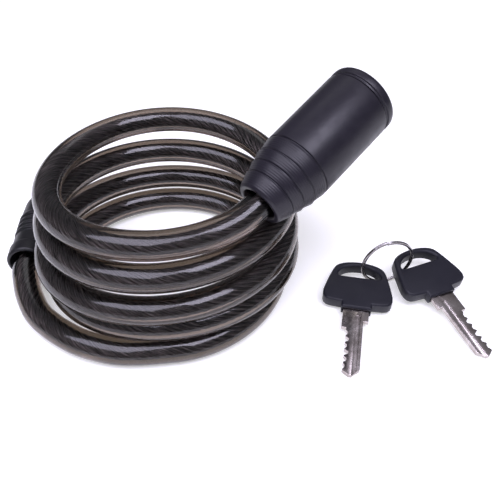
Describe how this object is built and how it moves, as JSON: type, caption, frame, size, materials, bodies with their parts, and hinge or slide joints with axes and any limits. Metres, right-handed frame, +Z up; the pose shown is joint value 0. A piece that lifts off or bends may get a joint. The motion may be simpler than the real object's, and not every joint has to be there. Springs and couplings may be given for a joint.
{
  "type": "coiled cable lock",
  "caption": "Self-coiling sheathed steel cable lock with a swivelling keyed barrel head, a plug with a locking pin, and keys on a split ring.",
  "frame": {"origin": "on the surface that the lock lies on, under the middle of the box round the head, plug and keys, the cable left out", "axes": "+Z up; +X the level heading of the lock head from its cable mouth to its key face; +Y away from the keys, towards the plug"},
  "size_m": [0.1627, 0.24, 0.1007],
  "materials": {
    "sheath": "glossy smoky translucent PVC over twisted steel",
    "steel_rope": "twisted strands, bare",
    "shell_plastic": "satin moulded black",
    "boot_plastic": "satin moulded black",
    "key_plastic": "matte blue-black",
    "die_cast_zinc": "as cast",
    "steel": "machined, plated",
    "brass": "stamped",
    "nickel": "nickel plated, milled"
  },
  "bodies": {
    "cable": {"cable_coil": "sheath", "cable_head_lead": "sheath", "cable_plug_lead": "sheath", "cable_ferrule": "steel", "rope_end_head": "steel_rope", "plug_boot": "boot_plastic", "plug_ferrule": "steel", "locking_pin": "steel", "plug_cross_pin": "steel", "rope_end_plug": "steel_rope"},
    "head": {"housing_shell": "shell_plastic", "end_cap": "shell_plastic", "lock_case": "die_cast_zinc", "core_retainer_pin": "steel", "ferrule_clip": "steel", "latch_spring": "steel"},
    "core": {"cylinder_core": "nickel"},
    "latch": {"latch_bolt": "steel"},
    "wafer_1": {"wafer_1": "brass"},
    "wafer_2": {"wafer_2": "brass"},
    "wafer_3": {"wafer_3": "brass"},
    "wafer_4": {"wafer_4": "brass"},
    "wafer_5": {"wafer_5": "brass"},
    "ring": {"key_ring": "nickel"},
    "key_1": {"key_1_head": "key_plastic", "key_1_blade": "nickel"},
    "key_2": {"key_2_head": "key_plastic", "key_2_blade": "nickel"}
  },
  "joints": [
    {"name": "head_swivel", "type": "hinge", "parent": "cable", "child": "head", "pos_m": [-0.00873, -0.03294, 0.064], "axis": [0.9397, 0, 0.342], "continuous": true},
    {"name": "core_turn", "type": "hinge", "parent": "head", "child": "core", "pos_m": [0.03826, -0.03294, 0.0811], "axis": [0.9397, 0, 0.342], "range_deg": [0, 90]},
    {"name": "latch_slide", "type": "slide", "parent": "head", "child": "latch", "axis": [-0.342, 0, 0.9397], "range_m": [-0.0021, 0], "deforming": ["latch_spring"]},
    {"name": "wafer_1_lift", "type": "slide", "parent": "core", "child": "wafer_1", "axis": [-0.342, 0, 0.9397], "range_m": [0, 0.0008], "stiffness_N_per_m": 60, "springref_m": -0.0008},
    {"name": "wafer_2_lift", "type": "slide", "parent": "core", "child": "wafer_2", "axis": [-0.342, 0, 0.9397], "range_m": [0, 0.0008]},
    {"name": "wafer_3_lift", "type": "slide", "parent": "core", "child": "wafer_3", "axis": [-0.342, 0, 0.9397], "range_m": [0, 0.0008]},
    {"name": "wafer_4_lift", "type": "slide", "parent": "core", "child": "wafer_4", "axis": [-0.342, 0, 0.9397], "range_m": [0, 0.0008]},
    {"name": "wafer_5_lift", "type": "slide", "parent": "core", "child": "wafer_5", "axis": [-0.342, 0, 0.9397], "range_m": [0, 0.0008]},
    {"name": "keys_lift", "type": "slide", "parent": "cable", "child": "ring", "axis": [0, -0.7071, 0.7071], "range_m": [0, 0.15]},
    {"name": "key_1_swing", "type": "hinge", "parent": "ring", "child": "key_1", "pos_m": [0.04108, -0.05579, 0.0132], "axis": [0, 0, 1], "range_deg": [-35, 10]},
    {"name": "key_2_swing", "type": "hinge", "parent": "ring", "child": "key_2", "pos_m": [0.06013, -0.06679, 0.0132], "axis": [0, 0, 1], "range_deg": [-10, 35]}
  ],
  "couplings": [
    {"joint": "latch_slide", "follows": "core_turn", "m_per_rad": -0.00128},
    {"joint": "wafer_2_lift", "follows": "wafer_1_lift", "ratio": 1},
    {"joint": "wafer_3_lift", "follows": "wafer_1_lift", "ratio": 1},
    {"joint": "wafer_4_lift", "follows": "wafer_1_lift", "ratio": 1},
    {"joint": "wafer_5_lift", "follows": "wafer_1_lift", "ratio": 1}
  ]
}
